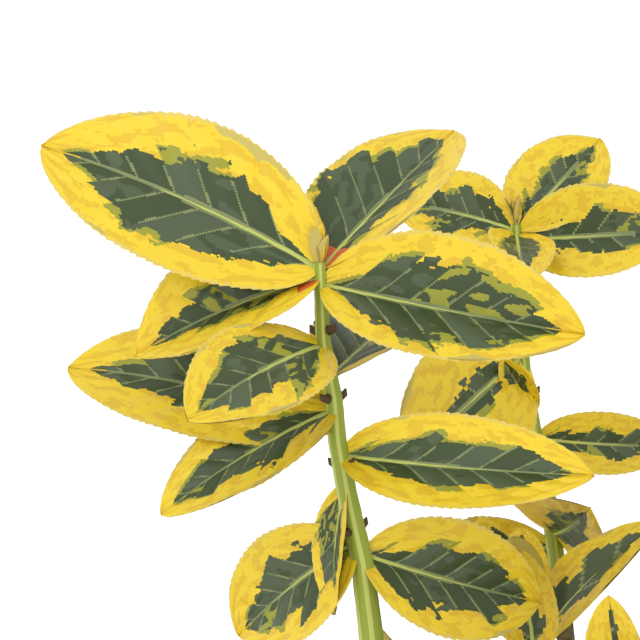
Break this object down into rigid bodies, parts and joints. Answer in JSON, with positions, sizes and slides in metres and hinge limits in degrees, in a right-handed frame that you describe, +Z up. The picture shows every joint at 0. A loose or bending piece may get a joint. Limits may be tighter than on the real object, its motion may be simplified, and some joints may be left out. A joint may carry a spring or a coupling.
{
  "type": "potted variegated wintercreeper",
  "caption": "Small evergreen shrub with gold-edged green leaves on upright shoots, standing in a plain clay pot.",
  "frame": {"origin": "middle of the pot's flat underside", "axes": "+Z up, -Y towards the viewer, +X to the viewer's right"},
  "size_m": [0.207, 0.2016, 0.2708],
  "materials": {
    "clay": "matte",
    "soil": "matte",
    "bark": "matte",
    "foliage": "satin"
  },
  "bodies": {
    "root": {"bough_shoot_01": "bark", "bough_shoot_02": "bark", "bough_shoot_03": "bark", "bough_shoot_04": "bark", "bough_shoot_05": "bark", "bough_shoot_06": "bark", "bough_shoot_07": "bark", "bough_shoot_08": "bark", "bough_shoot_09": "bark", "bough_shoot_10": "bark", "bough_shoot_11": "bark", "bough_shoot_12": "bark", "bough_shoot_13": "bark", "bough_shoot_14": "bark", "bough_shoot_lead": "bark", "bough_shoot_rear": "bark", "bough_tall_front": "bark", "bough_tall_rear": "bark", "pot": "clay", "potting_soil": "soil", "shoot_01": "foliage", "shoot_02": "foliage", "shoot_03": "foliage", "shoot_04": "foliage", "shoot_05": "foliage", "shoot_06": "foliage", "shoot_07": "foliage", "shoot_08": "foliage", "shoot_09": "foliage", "shoot_10": "foliage", "shoot_11": "foliage", "shoot_12": "foliage", "shoot_13": "foliage", "shoot_14": "foliage", "shoot_lead": "foliage", "shoot_rear": "foliage", "stem_foot": "bark", "tall_front": "foliage", "tall_rear": "foliage"}
  },
  "joints": []
}
